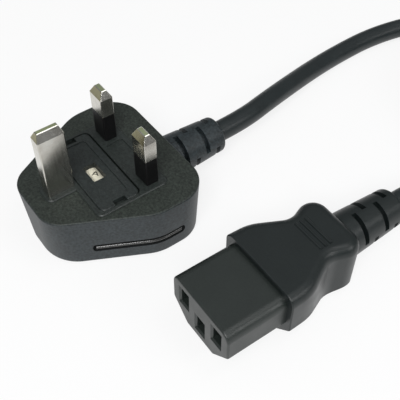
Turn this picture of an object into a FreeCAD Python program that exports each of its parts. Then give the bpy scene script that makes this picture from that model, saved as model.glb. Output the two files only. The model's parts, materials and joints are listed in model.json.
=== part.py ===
import FreeCAD, Part
import math
import os
from FreeCAD import Vector

# Mains lead with a moulded three-pin plug, lying on the plug's back, pins up.
# Millimetres. Origin on the plug's back face, below the line of the two power pins.
# X runs from the neutral pin to the live pin, Y from the earth pin to the cord, Z up along the pins.

# Plug moulding
body_height = 19.0
face_corner_x = 10.2
face_end_y = -31.9
shoulder_x = 24.5
shoulder_y = -4.7
cord_end_y = 13.5
end_corner_radius = 8.3
shoulder_radius = 14.0
cord_corner_radius = 9.6
wall_draft = 0.8
back_corner_growth = 4.5
face_edge_radius = 0.5
back_edge_radius = 1.6

# Finger groove in the side walls
groove_z = 6.7
groove_radius = 1.0
groove_depth = 0.65
groove_start_y = -21.0
groove_end_y = 3.0

# Pins, to BS 1363
earth_pin_y = -22.23
earth_pin_x_size = 4.0
earth_pin_y_size = 8.0
earth_pin_length = 22.73
earth_tip_chamfer = 1.3
earth_tip_end_chamfer = 0.9
power_pin_x = 11.115
power_pin_x_size = 6.35
power_pin_y_size = 4.0
power_pin_length = 17.7
power_tip_chamfer = 1.25
tip_taper_height = 2.3
pin_edge_radius = 0.35
tip_edge_radius = 0.2
sleeve_length = 9.3
sleeve_wall = 0.5
sleeve_root = 2.5
sleeve_edge_radius = 0.5
pin_tail_x_size = 3.0
pin_tail_y_size = 2.4
pin_collar = 0.8
pin_collar_height = 2.0
pin_collar_drop = 4.5

# Hard bridge that holds the pins and the fuse
bridge_proud = 0.5
bridge_depth = 11.5
bridge_half_x = 16.3
bridge_y_min = -18.8
bridge_y_max = 4.4
bridge_corner_radius = 2.0
tongue_half_x = 3.6
tongue_y_min = -27.4
bridge_lip = 0.9
bridge_lip_height = 2.5
bridge_lip_z = 10.5
bridge_edge_chamfer = 0.3
panel_half_x = 6.4
panel_y_min = -2.9
panel_y_max = 2.6
panel_depth = 0.3
panel_corner_radius = 0.8

# Fuse, to BS 1362
fuse_length = 25.4
fuse_cap_diameter = 6.35
fuse_cap_length = 5.5
fuse_cap_wall = 0.35
fuse_cap_edge_radius = 0.28
fuse_tube_diameter = 5.9
fuse_bore_diameter = 3.6
fuse_wire_diameter = 0.4
fuse_y = -10.85
fuse_drop = 4.9

# Fuse carrier
carrier_half_x = 15.0
carrier_half_y = 6.25
carrier_corner_radius = 1.8
carrier_thickness = 1.6
carrier_edge_chamfer = 0.25
carrier_gap = 0.2
carrier_cord_gap = 0.4
carrier_seat_gap = 0.05
cheek_half_x = 5.0
cheek_half_y = 4.45
cheek_drop = 2.6
cheek_clearance = 0.05
window_x_min = -2.9
window_x_max = 3.8
window_y_offset = -0.15
window_half_y = 2.0
window_corner_radius = 0.4
notch_depth_x = 1.8
notch_half_y = 1.95
carrier_panel_end = 12.4
carrier_panel_side = 3.9
carrier_panel_margin = 0.6
carrier_panel_corner = 1.2
carrier_panel_depth = 0.3

# Fuse clips, bent from brass strip
clip_thickness = 0.5
clip_inset = 3.1
clip_width = 4.6
clip_clearance = 0.03
clip_arm_rise = 2.2
clip_flare = 0.45
clip_riser_height = 3.0
strip_width = 2.6
pocket_half_y = 4.75
pocket_end_gap = 0.5

# Crimp barrels and wires
barrel_outer_radius = 1.5
barrel_length = 4.5
barrel_drop = 3.1
earth_barrel_inset = 1.0
supply_barrel_shift = 0.2
conductor_radius = 0.65
insulation_radius = 1.2
strip_gap = 0.4
core_straight = 2.4
core_gap = 0.1
line_core_bends = [(-2.8, 4.5), (-6.0, -1.6)]
earth_core_bend = (2.8, 2.0)

# Cord and its moulded strain relief
cord_diameter = 6.8
cord_exit_z = 9.4
relief_length = 19.5
relief_root_sink = 1.5
relief_root_radius = 7.0
relief_tip_radius = 5.8
relief_edge_radius = 1.0
relief_web_radius = 4.4
slot_width = 1.55
slot_first_y = 3.4
slot_pitch = 4.05
slot_rows = 4
slot_start_angle = 3.0
slot_sweep_angle = 92.0
sheath_end_inset = 1.0

# Appliance connector, to IEC 60320 C13
nose_half_x = 12.0
nose_height = 16.0
nose_length = 18.5
nose_lower_chamfer = 6.2
nose_upper_radius = 3.0
nose_lower_radius = 1.2
nose_edge_radius = 0.6
nose_lift = 2.2
grip_half_x = 14.0
grip_top_rise = 2.0
grip_length = 28.5
shoulder_run = 7.0
shoulder_taper = 0.3
shoulder_curve = 14.0
waist_corner_x = 8.3
waist_y = 17.6
waist_curve = 5.5
lobe_corner_x = 12.6
lobe_curve = 4.8
grip_edge_radius = 3.2
grip_front_edge_radius = 0.4
grip_lower_chamfer = 7.0
connector_slot_first_y = 4.6
rib_count = 3
rib_pitch = 1.7
rib_radius = 0.5
rib_sink = 0.1
rib_half_x = 5.2
rib_first_y = 16.6
socket_spacing = 7.0
socket_line_z = 10.2
earth_socket_drop = 4.0
socket_half_x = 1.75
socket_half_z = 3.1
socket_lead_in = 0.55
contact_recess = 4.0
contact_length = 12.0
contact_wall = 0.35
contact_half_x = 1.35
contact_half_z = 2.75
contact_clearance = 0.3
contact_seam = 0.3
insert_rear_length = 3.5
insert_rear_inset = 2.6
insert_rear_chamfer = 5.2
insert_rear_radius = 1.8
connector_relief_length = 21.0
connector_sheath_inset = 2.0
far_core_straight = 4.0
far_core_lead = 5.0
connector_x = 54.0
connector_y = -12.8
connector_heading = -1.0

# Cord routes on the table, chosen point by point, and the coil between them
plug_cord_points = [
    (-3.0, 57.0, 8.6),
    (-6.8, 71.0, 6.4),
    (-10.2, 85.0, 4.4),
    (-12.2, 100.0, 3.4),
    (-12.4, 116.0, 3.4),
    (-9.6, 132.0, 3.4),
    (-3.6, 147.0, 3.4),
    (5.5, 160.0, 3.4),
]
connector_cord_points = [
    (58.2, 77.5, 9.2),
    (64.6, 88.6, 8.9),
    (72.8, 98.0, 10.0),
]
cord_first_run = 11.0
bend_share = 0.45
coil_x = 57.0
coil_y = 145.0
coil_middle_radius = 37.4
coil_columns = 4
coil_rows = 3
coil_layer_rise = 6.4
coil_side_height = 5.4

# Cutters reach past the faces that they cut by the overshoot, and edges are found by
# where they lie, to the closeness
overshoot = 1.0
closeness = 0.01

pin_plane = body_height + bridge_proud
bridge_bottom = pin_plane - bridge_depth
barrel_z = bridge_bottom - barrel_drop
fuse_z = pin_plane - fuse_drop
cap_radius = fuse_cap_diameter / 2
clip_seat_z = fuse_z - cap_radius - clip_clearance
clip_base_z = clip_seat_z - clip_thickness
clip_x = fuse_length / 2 - clip_inset
pocket_half_x = fuse_length / 2 + pocket_end_gap
cord_radius = cord_diameter / 2
relief_end_y = cord_end_y + relief_length
sheath_end_y = cord_end_y - sheath_end_inset
neutral_barrel_y = -pin_tail_y_size / 2
earth_barrel_y = earth_pin_y + earth_pin_y_size / 2 - earth_barrel_inset
supply_barrel_y = fuse_y + supply_barrel_shift
connector_axis_z = nose_lift + nose_height / 2
connector_sheath_end = nose_length + grip_length - connector_sheath_inset
connector_end_y = nose_length + grip_length + connector_relief_length

UP = Vector(0, 0, 1)
ALONG = Vector(0, 1, 0)
ACROSS = Vector(1, 0, 0)


def box(x_min, x_max, y_min, y_max, z_min, z_max):
    size = (x_max - x_min, y_max - y_min, z_max - z_min)
    return Part.makeBox(*size, Vector(x_min, y_min, z_min))


def rounded_polygon(corners, radii):
    """Closed flat wire through the corners, each rounded by its own radius."""
    edges = []
    starts = []
    ends = []
    middles = []
    count = len(corners)
    for i in range(count):
        before = corners[i - 1]
        corner = corners[i]
        after = corners[(i + 1) % count]
        back = (before - corner).normalize()
        ahead = (after - corner).normalize()
        half_angle = back.getAngle(ahead) / 2
        reach = radii[i] / math.tan(half_angle)
        bisector = (back + ahead).normalize()
        centre = corner + bisector * (radii[i] / math.sin(half_angle))
        starts.append(corner + back * reach)
        ends.append(corner + ahead * reach)
        middles.append(centre - bisector * radii[i])
    for i in range(count):
        if radii[i] > 0:
            edges.append(Part.Arc(starts[i], middles[i], ends[i]).toShape())
        following = starts[(i + 1) % count]
        if (following - ends[i]).Length > 0.001:
            edges.append(Part.LineSegment(ends[i], following).toShape())
    return Part.Wire(edges)


def rounded_plate(x_min, x_max, y_min, y_max, z_min, z_max, radius):
    """Flat block with its four upright edges rounded."""
    corners = [
        Vector(x_min, y_min, z_min),
        Vector(x_max, y_min, z_min),
        Vector(x_max, y_max, z_min),
        Vector(x_min, y_max, z_min),
    ]
    wire = rounded_polygon(corners, [radius] * 4)
    return Part.Face(wire).extrude(Vector(0, 0, z_max - z_min))


def bend_radii(points):
    """Bend radius at each inner point, as large as the shorter run beside it allows."""
    radii = []
    for i in range(1, len(points) - 1):
        back = Vector(*points[i - 1]) - Vector(*points[i])
        ahead = Vector(*points[i + 1]) - Vector(*points[i])
        half_turn = (math.pi - back.getAngle(ahead)) / 2
        shorter = min(back.Length, ahead.Length)
        radii.append(bend_share * shorter / math.tan(half_turn))
    return radii


def tube(points, radius, radii=None):
    """Round solid of straight runs joined by tangent arcs, and its length."""
    path = [Vector(*p) for p in points]
    radii = radii or bend_radii(points)
    pieces = []
    length = 0.0
    here = path[0]
    for corner, before, after, bend in zip(path[1:-1], path, path[2:], radii):
        back = (before - corner).normalize()
        ahead = (after - corner).normalize()
        turn = math.pi - back.getAngle(ahead)
        start = corner + back * (bend * math.tan(turn / 2))
        inward = (back + ahead).normalize()
        centre = corner + inward * (bend / math.cos(turn / 2))
        run = (start - here).Length
        pieces.append(Part.makeCylinder(radius, run, here, back * -1))
        disc = Part.Face(Part.Wire(Part.makeCircle(radius, start, back * -1)))
        pieces.append(disc.revolve(centre, ahead.cross(back), math.degrees(turn)))
        length += run + bend * turn
        here = corner + ahead * (bend * math.tan(turn / 2))
    last = path[-1] - here
    pieces.append(Part.makeCylinder(radius, last.Length, here, last))
    return pieces[0].fuse(pieces[1:]), length + last.Length


def chamfered_blade(half_x, half_y, z_min, z_max, chamfer_x, chamfer_y, chamfer_z):
    """Upright flat pin whose end tapers in on all four sides."""
    shank = box(-half_x, half_x, -half_y, half_y, z_min, z_max - chamfer_z)
    upright = [e for e in shank.Edges if abs(e.tangentAt(e.FirstParameter).z) > 0.99]
    shank = shank.makeFillet(pin_edge_radius, upright)
    lower = rounded_polygon(
        rectangle(half_x, half_y, z_max - chamfer_z), [pin_edge_radius] * 4
    )
    upper = rounded_polygon(
        rectangle(half_x - chamfer_x, half_y - chamfer_y, z_max), [tip_edge_radius] * 4
    )
    tip = Part.makeLoft([lower, upper], True, True)
    return shank.fuse(tip).removeSplitter()


def rectangle(half_x, half_y, z):
    return [
        Vector(-half_x, -half_y, z),
        Vector(half_x, -half_y, z),
        Vector(half_x, half_y, z),
        Vector(-half_x, half_y, z),
    ]


def outline_corners(z, standoff=0.0):
    """Corners and radii of the plug's plan at a height, or of a line outside it."""
    fall = (body_height - z) / body_height
    inset = wall_draft * fall - standoff
    flank = Vector(shoulder_x - face_corner_x, shoulder_y - face_end_y, 0).normalize()
    outward = Vector(flank.y, -flank.x, 0)
    anchor = Vector(face_corner_x, face_end_y, z) - outward * inset
    end_y = face_end_y + inset
    side_x = shoulder_x - inset
    end_corner = anchor + flank * ((end_y - anchor.y) / flank.y)
    shoulder = anchor + flank * ((side_x - anchor.x) / flank.x)
    near = [end_corner, shoulder, Vector(side_x, cord_end_y - inset, z)]
    far = [Vector(-p.x, p.y, p.z) for p in reversed(near)]
    end_radius = end_corner_radius + back_corner_growth * fall
    radii = [r + standoff for r in (end_radius, shoulder_radius, cord_corner_radius)]
    return near + far, radii + radii[::-1], flank


def plug_shell():
    """Outer form of the plug moulding: drafted walls between the face and the back."""
    face = rounded_polygon(*outline_corners(body_height)[:2])
    back = rounded_polygon(*outline_corners(0.0)[:2])
    shell = Part.makeLoft([back, face], True, True)
    rims = [
        (0.0, back_edge_radius),
        (body_height, face_edge_radius),
    ]
    for z, radius in rims:
        edges = [e for e in shell.Edges if flat_at(e, z)]
        shell = shell.makeFillet(radius, edges)
    return shell


def flat_at(edge, z):
    bounds = edge.BoundBox
    return abs(bounds.ZMin - z) < closeness and abs(bounds.ZMax - z) < closeness


def groove_cutter():
    """Round-bottomed groove that follows the flank, the shoulder and the side."""
    corners, radii, flank = outline_corners(groove_z, groove_radius - groove_depth)
    shoulder = corners[1]
    start = shoulder + flank * ((groove_start_y - shoulder.y) / flank.y)
    points = [
        tuple(start),
        tuple(shoulder),
        (shoulder.x, groove_end_y, groove_z),
    ]
    cutter, _ = tube(points, groove_radius, [radii[1]])
    for point in (points[0], points[-1]):
        cutter = cutter.fuse(Part.makeSphere(groove_radius, Vector(*point)))
    return cutter.fuse(cutter.mirror(Vector(0, 0, 0), ACROSS))


def relief_slot(y, start_angle, z):
    """One arc-shaped slot across a strain relief that runs along Y."""
    outer_radius = relief_root_radius + overshoot
    ring = Part.makeCylinder(outer_radius, slot_width, Vector(0, 0, 0), UP, slot_sweep_angle)
    ring = ring.cut(Part.makeCylinder(relief_web_radius, slot_width))
    ring.rotate(Vector(0, 0, 0), UP, start_angle)
    ring.rotate(Vector(0, 0, 0), ACROSS, 90)
    ring.translate(Vector(0, y + slot_width / 2, z))
    return ring


def strain_relief(body_y, length, z, first_slot):
    """Tapered sleeve whose rows of slots stand crosswise to each other."""
    root = Vector(0, body_y - relief_root_sink, z)
    whole = length + relief_root_sink
    cone = Part.makeCone(relief_root_radius, relief_tip_radius, whole, root, ALONG)
    tip_edges = [e for e in cone.Edges if e.BoundBox.YMin > body_y + length - closeness]
    cone = cone.makeFillet(relief_edge_radius, tip_edges)
    slots = []
    for row in range(slot_rows):
        y = body_y + first_slot + slot_width / 2 + slot_pitch * row
        turn = 90.0 * (row % 2)
        for side in (0.0, 180.0):
            angle = slot_start_angle + turn + side
            slots.append(relief_slot(y, angle, z))
    return cone.cut(slots)


def bridge_block():
    """Outer form of the hard bridge: main block, earth tongue and locking lip."""
    main = rounded_plate(
        -bridge_half_x, bridge_half_x, bridge_y_min, bridge_y_max,
        bridge_bottom, pin_plane, bridge_corner_radius,
    )
    tongue = rounded_plate(
        -tongue_half_x, tongue_half_x, tongue_y_min, bridge_y_min + 2 * bridge_corner_radius,
        bridge_bottom, pin_plane, bridge_corner_radius,
    )
    lip = box(
        -bridge_half_x - bridge_lip, bridge_half_x + bridge_lip,
        bridge_y_min + bridge_corner_radius, bridge_y_max + bridge_lip,
        bridge_lip_z, bridge_lip_z + bridge_lip_height,
    )
    block = main.fuse([tongue, lip]).removeSplitter()
    rim = [e for e in block.Edges if flat_at(e, pin_plane)]
    return block.makeChamfer(bridge_edge_chamfer, rim)


def fuse_pocket():
    """Space in the bridge for the carrier's lid and, below it, the fuse and its clips."""
    lid = rounded_plate(
        -carrier_half_x - carrier_gap, carrier_half_x + carrier_gap,
        fuse_y - carrier_half_y - carrier_gap, fuse_y + carrier_half_y + carrier_cord_gap,
        pin_plane - carrier_thickness - carrier_seat_gap, pin_plane + overshoot,
        carrier_corner_radius + carrier_gap,
    )
    well = box(
        -pocket_half_x, pocket_half_x, fuse_y - pocket_half_y, fuse_y + pocket_half_y,
        clip_base_z, pin_plane,
    )
    return lid.fuse(well)


def power_pin(side):
    """Brass power pin: necked for its sleeve, with a collar and a tail below."""
    half_x = power_pin_x_size / 2
    half_y = power_pin_y_size / 2
    tip_z = pin_plane + power_pin_length
    neck_top = pin_plane + sleeve_length
    blade = chamfered_blade(
        half_x, half_y, bridge_bottom, tip_z, power_tip_chamfer, power_tip_chamfer,
        tip_taper_height,
    )
    neck_bottom = pin_plane - sleeve_root
    ring = box(
        -half_x - overshoot, half_x + overshoot, -half_y - overshoot, half_y + overshoot,
        neck_bottom, neck_top,
    )
    core = rounded_plate(
        -half_x + sleeve_wall, half_x - sleeve_wall, -half_y + sleeve_wall,
        half_y - sleeve_wall, neck_bottom, neck_top, pin_edge_radius,
    )
    blade = blade.cut(ring.cut(core))
    blade.translate(Vector(side * power_pin_x, 0, 0))
    return blade


def pin_sleeve(side):
    """Insulating sleeve that fills the neck of a power pin."""
    half_x = power_pin_x_size / 2
    half_y = power_pin_y_size / 2
    bottom = pin_plane - sleeve_root
    top = pin_plane + sleeve_length
    outer = rounded_plate(-half_x, half_x, -half_y, half_y, bottom, top, sleeve_edge_radius)
    inner = rounded_plate(
        -half_x + sleeve_wall, half_x - sleeve_wall, -half_y + sleeve_wall,
        half_y - sleeve_wall, bottom, top, pin_edge_radius,
    )
    sleeve = outer.cut(inner)
    sleeve.translate(Vector(side * power_pin_x, 0, 0))
    return sleeve


def pin_collar_ring(half_x, half_y):
    """Ring round a pin's root that keys it into the bridge."""
    top = pin_plane - pin_collar_drop
    return box(
        -half_x - pin_collar, half_x + pin_collar, -half_y - pin_collar,
        half_y + pin_collar, top - pin_collar_height, top,
    )


def barrel_space(x, y_start, z):
    """Whole volume of a crimp barrel along Y, open towards the cord."""
    return Part.makeCylinder(barrel_outer_radius, barrel_length, Vector(x, y_start, z), ALONG)


def barrel_bore(x, y_start, z):
    start = Vector(x, y_start + strip_gap, z)
    return Part.makeCylinder(conductor_radius, barrel_length - strip_gap, start, ALONG)


def tailed(pin, x, y, barrel_y):
    """Adds the tail below the bridge and its crimp barrel to a pin."""
    half_x = pin_tail_x_size / 2
    half_y = pin_tail_y_size / 2
    tail = box(x - half_x, x + half_x, y - half_y, y + half_y, barrel_z, bridge_bottom)
    link = box(
        x - half_x, x + half_x, min(y, barrel_y), barrel_y + strip_gap,
        barrel_z - conductor_radius, barrel_z + conductor_radius,
    )
    whole = pin.fuse([tail, link, barrel_space(x, barrel_y, barrel_z)])
    return whole.cut(barrel_bore(x, barrel_y, barrel_z)).removeSplitter()


def earth_pin():
    """Brass earth pin with its collar, tail and crimp barrel."""
    half_x = earth_pin_x_size / 2
    half_y = earth_pin_y_size / 2
    blade = chamfered_blade(
        half_x, half_y, bridge_bottom, pin_plane + earth_pin_length, earth_tip_chamfer,
        earth_tip_end_chamfer, tip_taper_height,
    )
    blade = blade.fuse(pin_collar_ring(half_x, half_y)).removeSplitter()
    blade.translate(Vector(0, earth_pin_y, 0))
    return tailed(blade, 0.0, earth_pin_y, earth_barrel_y)


def clip_profile(x_start, width):
    """U of brass strip that takes a fuse cap, with flared arm tips."""
    inner = cap_radius + clip_clearance
    outer = inner + clip_thickness
    top = fuse_z + clip_arm_rise
    base = clip_base_z
    seat = clip_seat_z
    section = [
        (-outer, base), (outer, base), (outer, top), (outer + clip_flare, top + clip_flare),
        (inner + clip_flare, top + clip_flare), (inner, top), (inner, seat),
        (-inner, seat), (-inner, top), (-inner - clip_flare, top + clip_flare),
        (-outer - clip_flare, top + clip_flare), (-outer, top), (-outer, base),
    ]
    points = [Vector(x_start, fuse_y + y, z) for y, z in section]
    face = Part.Face(Part.makePolygon(points))
    return face.extrude(Vector(width, 0, 0))


def load_clip():
    """Clip on the live pin's side, whose strip runs to the pin's shank."""
    clip = clip_profile(clip_x - clip_width / 2, clip_width)
    strip = box(
        clip_x - strip_width / 2, clip_x + strip_width / 2, fuse_y,
        -power_pin_y_size / 2, clip_base_z, clip_seat_z,
    )
    riser = box(
        clip_x - strip_width / 2, clip_x + strip_width / 2,
        -power_pin_y_size / 2 - clip_thickness, -power_pin_y_size / 2,
        clip_base_z, clip_base_z + clip_riser_height,
    )
    return clip.fuse([strip, riser]).removeSplitter()


def supply_clip():
    """Clip on the supply side, whose tail drops through the bridge to a crimp barrel."""
    clip = clip_profile(-clip_x - clip_width / 2, clip_width)
    tail = box(
        -clip_x - strip_width / 2, -clip_x + strip_width / 2, supply_barrel_y,
        supply_barrel_y + strip_gap, barrel_z, clip_base_z,
    )
    whole = clip.fuse([tail, barrel_space(-clip_x, supply_barrel_y, barrel_z)])
    return whole.cut(barrel_bore(-clip_x, supply_barrel_y, barrel_z)).removeSplitter()


def fuse_parts():
    """Cartridge fuse: ceramic tube, two pressed caps and the wire between them."""
    start = Vector(-fuse_length / 2, fuse_y, fuse_z)
    seat_radius = cap_radius - fuse_cap_wall
    inner_start = start + Vector(fuse_cap_wall, 0, 0)
    inner_length = fuse_length - 2 * fuse_cap_wall
    ends = Part.makeCylinder(seat_radius, inner_length, inner_start, ACROSS)
    middle_start = start + Vector(fuse_cap_length, 0, 0)
    middle_length = fuse_length - 2 * fuse_cap_length
    middle = Part.makeCylinder(fuse_tube_diameter / 2, middle_length, middle_start, ACROSS)
    bore = Part.makeCylinder(fuse_bore_diameter / 2, inner_length, inner_start, ACROSS)
    ceramic = ends.fuse(middle).removeSplitter().cut(bore)
    wire = Part.makeCylinder(fuse_wire_diameter / 2, inner_length, inner_start, ACROSS)
    caps = []
    for x in (-fuse_length / 2, fuse_length / 2 - fuse_cap_length):
        can = Part.makeCylinder(cap_radius, fuse_cap_length, Vector(x, fuse_y, fuse_z), ACROSS)
        rims = [e for e in can.Edges if abs(abs(e.BoundBox.XMin) - fuse_length / 2) < closeness]
        rims = [e for e in rims if e.BoundBox.XLength < closeness]
        can = can.makeFillet(fuse_cap_edge_radius, rims)
        hollow = Part.makeCylinder(seat_radius, inner_length, inner_start, ACROSS)
        caps.append(can.cut(hollow))
    return ceramic, wire, caps


def fuse_carrier():
    """Lid with a window, prising notches and two cheeks that hold the fuse's middle."""
    top = pin_plane
    bottom = pin_plane - carrier_thickness
    y_min = fuse_y - carrier_half_y
    y_max = fuse_y + carrier_half_y
    lid = rounded_plate(
        -carrier_half_x, carrier_half_x, y_min, y_max, bottom, top, carrier_corner_radius
    )
    rim = [e for e in lid.Edges if flat_at(e, top)]
    lid = lid.makeChamfer(carrier_edge_chamfer, rim)
    cheeks = box(
        -cheek_half_x, cheek_half_x, fuse_y - cheek_half_y, fuse_y + cheek_half_y,
        fuse_z - cheek_drop, bottom,
    )
    carrier = lid.fuse(cheeks)
    tube_space = Part.makeCylinder(
        fuse_tube_diameter / 2 + cheek_clearance, 2 * cheek_half_x,
        Vector(-cheek_half_x, fuse_y, fuse_z), ACROSS,
    )
    window = rounded_plate(
        window_x_min, window_x_max, fuse_y + window_y_offset - window_half_y,
        fuse_y + window_y_offset + window_half_y, fuse_z, top + overshoot,
        window_corner_radius,
    )
    panel_corners = [
        Vector(-carrier_panel_end, y_min + carrier_panel_margin, top - carrier_panel_depth),
        Vector(carrier_panel_end, y_min + carrier_panel_margin, top - carrier_panel_depth),
        Vector(carrier_panel_end, fuse_y + carrier_panel_side, top - carrier_panel_depth),
        Vector(-carrier_panel_end, fuse_y + carrier_panel_side, top - carrier_panel_depth),
    ]
    panel_outline = rounded_polygon(
        panel_corners, [0, 0, carrier_panel_corner, carrier_panel_corner]
    )
    panel = Part.Face(panel_outline).extrude(UP)
    notch_start = carrier_half_x - notch_depth_x
    notch = box(
        notch_start, carrier_half_x + overshoot, fuse_y - notch_half_y,
        fuse_y + notch_half_y, bottom - overshoot, top + overshoot,
    )
    far_notch = notch.mirror(Vector(0, 0, 0), ACROSS)
    return carrier.cut([tube_space, window, panel, notch, far_notch]).removeSplitter()


def core(points):
    """Insulated core whose bare conductor ends in a crimp barrel."""
    insulation, _ = tube(points, insulation_radius)
    end = Vector(*points[-1])
    direction = end - Vector(*points[-2])
    bare = Part.makeCylinder(conductor_radius, barrel_length, end, direction)
    return insulation.fuse(bare)


def lay_position(angle):
    """Offset of one core from the cord's axis where the three lie together."""
    reach = insulation_radius / math.cos(math.radians(30)) + core_gap
    return reach * math.cos(math.radians(angle)), reach * math.sin(math.radians(angle))


def plug_cores():
    """The three cores from the stripped cord to their crimp barrels."""
    routes = {}
    x, dz = lay_position(150)
    neutral_end = neutral_barrel_y + barrel_length + strip_gap
    routes["neutral"] = [
        (x, sheath_end_y, cord_exit_z + dz),
        (x, sheath_end_y - core_straight, cord_exit_z + dz),
        (-power_pin_x, neutral_end + core_straight, barrel_z),
        (-power_pin_x, neutral_end, barrel_z),
    ]
    x, dz = lay_position(270)
    supply_end = supply_barrel_y + barrel_length + strip_gap
    routes["line"] = [
        (x, sheath_end_y, cord_exit_z + dz),
        (x, sheath_end_y - core_straight, cord_exit_z + dz),
        *[(*place, barrel_z) for place in line_core_bends],
        (-clip_x, supply_end + core_straight, barrel_z),
        (-clip_x, supply_end, barrel_z),
    ]
    x, dz = lay_position(30)
    earth_end = earth_barrel_y + barrel_length + strip_gap
    routes["earth"] = [
        (x, sheath_end_y, cord_exit_z + dz),
        (x, sheath_end_y - core_straight, cord_exit_z + dz),
        (*earth_core_bend, barrel_z),
        (0.0, earth_end + core_straight, barrel_z),
        (0.0, earth_end, barrel_z),
    ]
    return {name: core(points) for name, points in routes.items()}


def nose_section(half_x, z_min, z_max, chamfer, upper, lower, y):
    """Six-sided outline of the connector's nose: rounded above, chamfered below."""
    corners = [
        Vector(-half_x, y, z_max),
        Vector(half_x, y, z_max),
        Vector(half_x, y, z_min + chamfer),
        Vector(half_x - chamfer, y, z_min),
        Vector(-half_x + chamfer, y, z_min),
        Vector(-half_x, y, z_min + chamfer),
    ]
    return rounded_polygon(corners, [upper, upper, lower, lower, lower, lower])


def connector_insert():
    """Hard insert: the nose with its three sockets, and the block that the grip holds."""
    z_min = nose_lift
    z_max = nose_lift + nose_height
    section = nose_section(
        nose_half_x, z_min, z_max, nose_lower_chamfer, nose_upper_radius, nose_lower_radius, 0
    )
    nose = Part.Face(section).extrude(Vector(0, nose_length, 0))
    rim = [e for e in nose.Edges if e.BoundBox.YMax < closeness]
    nose = nose.makeFillet(nose_edge_radius, rim)
    rear_section = nose_section(
        nose_half_x - insert_rear_inset, z_min + insert_rear_inset, z_max - insert_rear_inset,
        insert_rear_chamfer, insert_rear_radius, nose_lower_radius, nose_length,
    )
    rear = Part.Face(rear_section).extrude(Vector(0, insert_rear_length, 0))
    insert = nose.fuse(rear).removeSplitter()
    cutters = []
    channel_half_x = contact_half_x + contact_clearance
    insert_end = nose_length + insert_rear_length
    for x, z in socket_places():
        cutters.append(
            box(x - socket_half_x, x + socket_half_x, -overshoot, contact_recess,
                z - socket_half_z, z + socket_half_z)
        )
        cutters.append(lead_in(x, z))
        cutters.append(
            box(x - channel_half_x, x + channel_half_x, contact_recess, insert_end,
                z - contact_half_z, z + contact_half_z)
        )
    return insert.cut(cutters)


def lead_in(x, z):
    """Flare at the mouth of a socket."""
    outer = rectangle(socket_half_x + socket_lead_in, socket_half_z + socket_lead_in, 0)
    inner = rectangle(socket_half_x, socket_half_z, socket_lead_in)
    wires = [Part.makePolygon(points + points[:1]) for points in (outer, inner)]
    flare = Part.makeLoft(wires, True, True)
    flare.rotate(Vector(0, 0, 0), ACROSS, -90)
    flare.translate(Vector(x, 0, z))
    return flare


def socket_places():
    upper = nose_lift + socket_line_z
    return [
        (-socket_spacing, upper),
        (0.0, upper - earth_socket_drop),
        (socket_spacing, upper),
    ]


def grip_plan(z):
    """Plan of the grip: broad shoulder, waist and rear lobes in tangent curves."""
    right = [
        Vector(grip_half_x, 0, z),
        Vector(grip_half_x - shoulder_taper, shoulder_run, z),
        Vector(waist_corner_x, waist_y, z),
        Vector(lobe_corner_x, grip_length, z),
    ]
    left = [Vector(-p.x, p.y, p.z) for p in reversed(right)]
    radii = [0, shoulder_curve, waist_curve, lobe_curve]
    return rounded_polygon(right + left, radii + radii[::-1])


def connector_grip():
    """Soft grip behind the nose, with its ribs and strain relief."""
    top = nose_lift + nose_height + grip_top_rise
    grip = Part.Face(grip_plan(0.0)).extrude(Vector(0, 0, top))
    rim = [e for e in grip.Edges if flat_at(e, top) and e.BoundBox.YMax > closeness]
    grip = grip.makeFillet(grip_edge_radius, rim)
    front = [e for e in grip.Edges if e.BoundBox.YMax < closeness and e.BoundBox.ZMin > closeness]
    grip = grip.makeFillet(grip_front_edge_radius, front)
    half = grip_half_x + overshoot
    chamfer = grip_lower_chamfer + overshoot
    section = [
        Vector(-half, 0, top + overshoot),
        Vector(half, 0, top + overshoot),
        Vector(half, 0, chamfer),
        Vector(half - chamfer, 0, 0),
        Vector(-half + chamfer, 0, 0),
        Vector(-half, 0, chamfer),
    ]
    bar = Part.Face(Part.makePolygon(section + section[:1])).extrude(Vector(0, grip_length, 0))
    grip = grip.common(bar)
    ribs = []
    for i in range(rib_count):
        y = rib_first_y + rib_pitch * i
        start = Vector(-rib_half_x, y, top - rib_sink)
        ribs.append(Part.makeCylinder(rib_radius, 2 * rib_half_x, start, ACROSS))
    relief = strain_relief(
        grip_length, connector_relief_length, connector_axis_z, connector_slot_first_y
    )
    grip = grip.fuse(ribs + [relief])
    grip.translate(Vector(0, nose_length, 0))
    return grip


def connector_contact(x, z):
    """Folded brass socket contact with its crimp barrel behind."""
    length = contact_length
    outer = box(
        x - contact_half_x, x + contact_half_x, contact_recess, contact_recess + length,
        z - contact_half_z, z + contact_half_z,
    )
    inner = box(
        x - contact_half_x + contact_wall, x + contact_half_x - contact_wall,
        contact_recess - overshoot, contact_recess + length - contact_wall,
        z - contact_half_z + contact_wall, z + contact_half_z - contact_wall,
    )
    seam = box(
        x - contact_seam / 2, x + contact_seam / 2, contact_recess - overshoot,
        contact_recess + length - contact_wall, z, z + contact_half_z + overshoot,
    )
    whole = outer.cut([inner, seam]).fuse(barrel_space(x, contact_recess + length, z))
    return whole.cut(barrel_bore(x, contact_recess + length, z)).removeSplitter()


def connector_cores():
    """The three cores from the stripped cord to the contacts."""
    core_end = contact_recess + contact_length + barrel_length + strip_gap
    cores = {}
    angles = {"line": 30, "neutral": 150, "earth": 270}
    for name, (socket_x, socket_z) in zip(("neutral", "earth", "line"), socket_places()):
        x, dz = lay_position(angles[name])
        points = [
            (x, connector_sheath_end, connector_axis_z + dz),
            (x, connector_sheath_end - far_core_straight, connector_axis_z + dz),
            (socket_x, core_end + far_core_lead, socket_z),
            (socket_x, core_end, socket_z),
        ]
        cores[name] = core(points)
    return cores


def cord_end(y_start, y_end, z):
    """Stripped end of the cord, held inside a moulding."""
    return Part.makeCylinder(cord_radius, y_end - y_start, Vector(0, y_start, z), ALONG)


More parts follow.
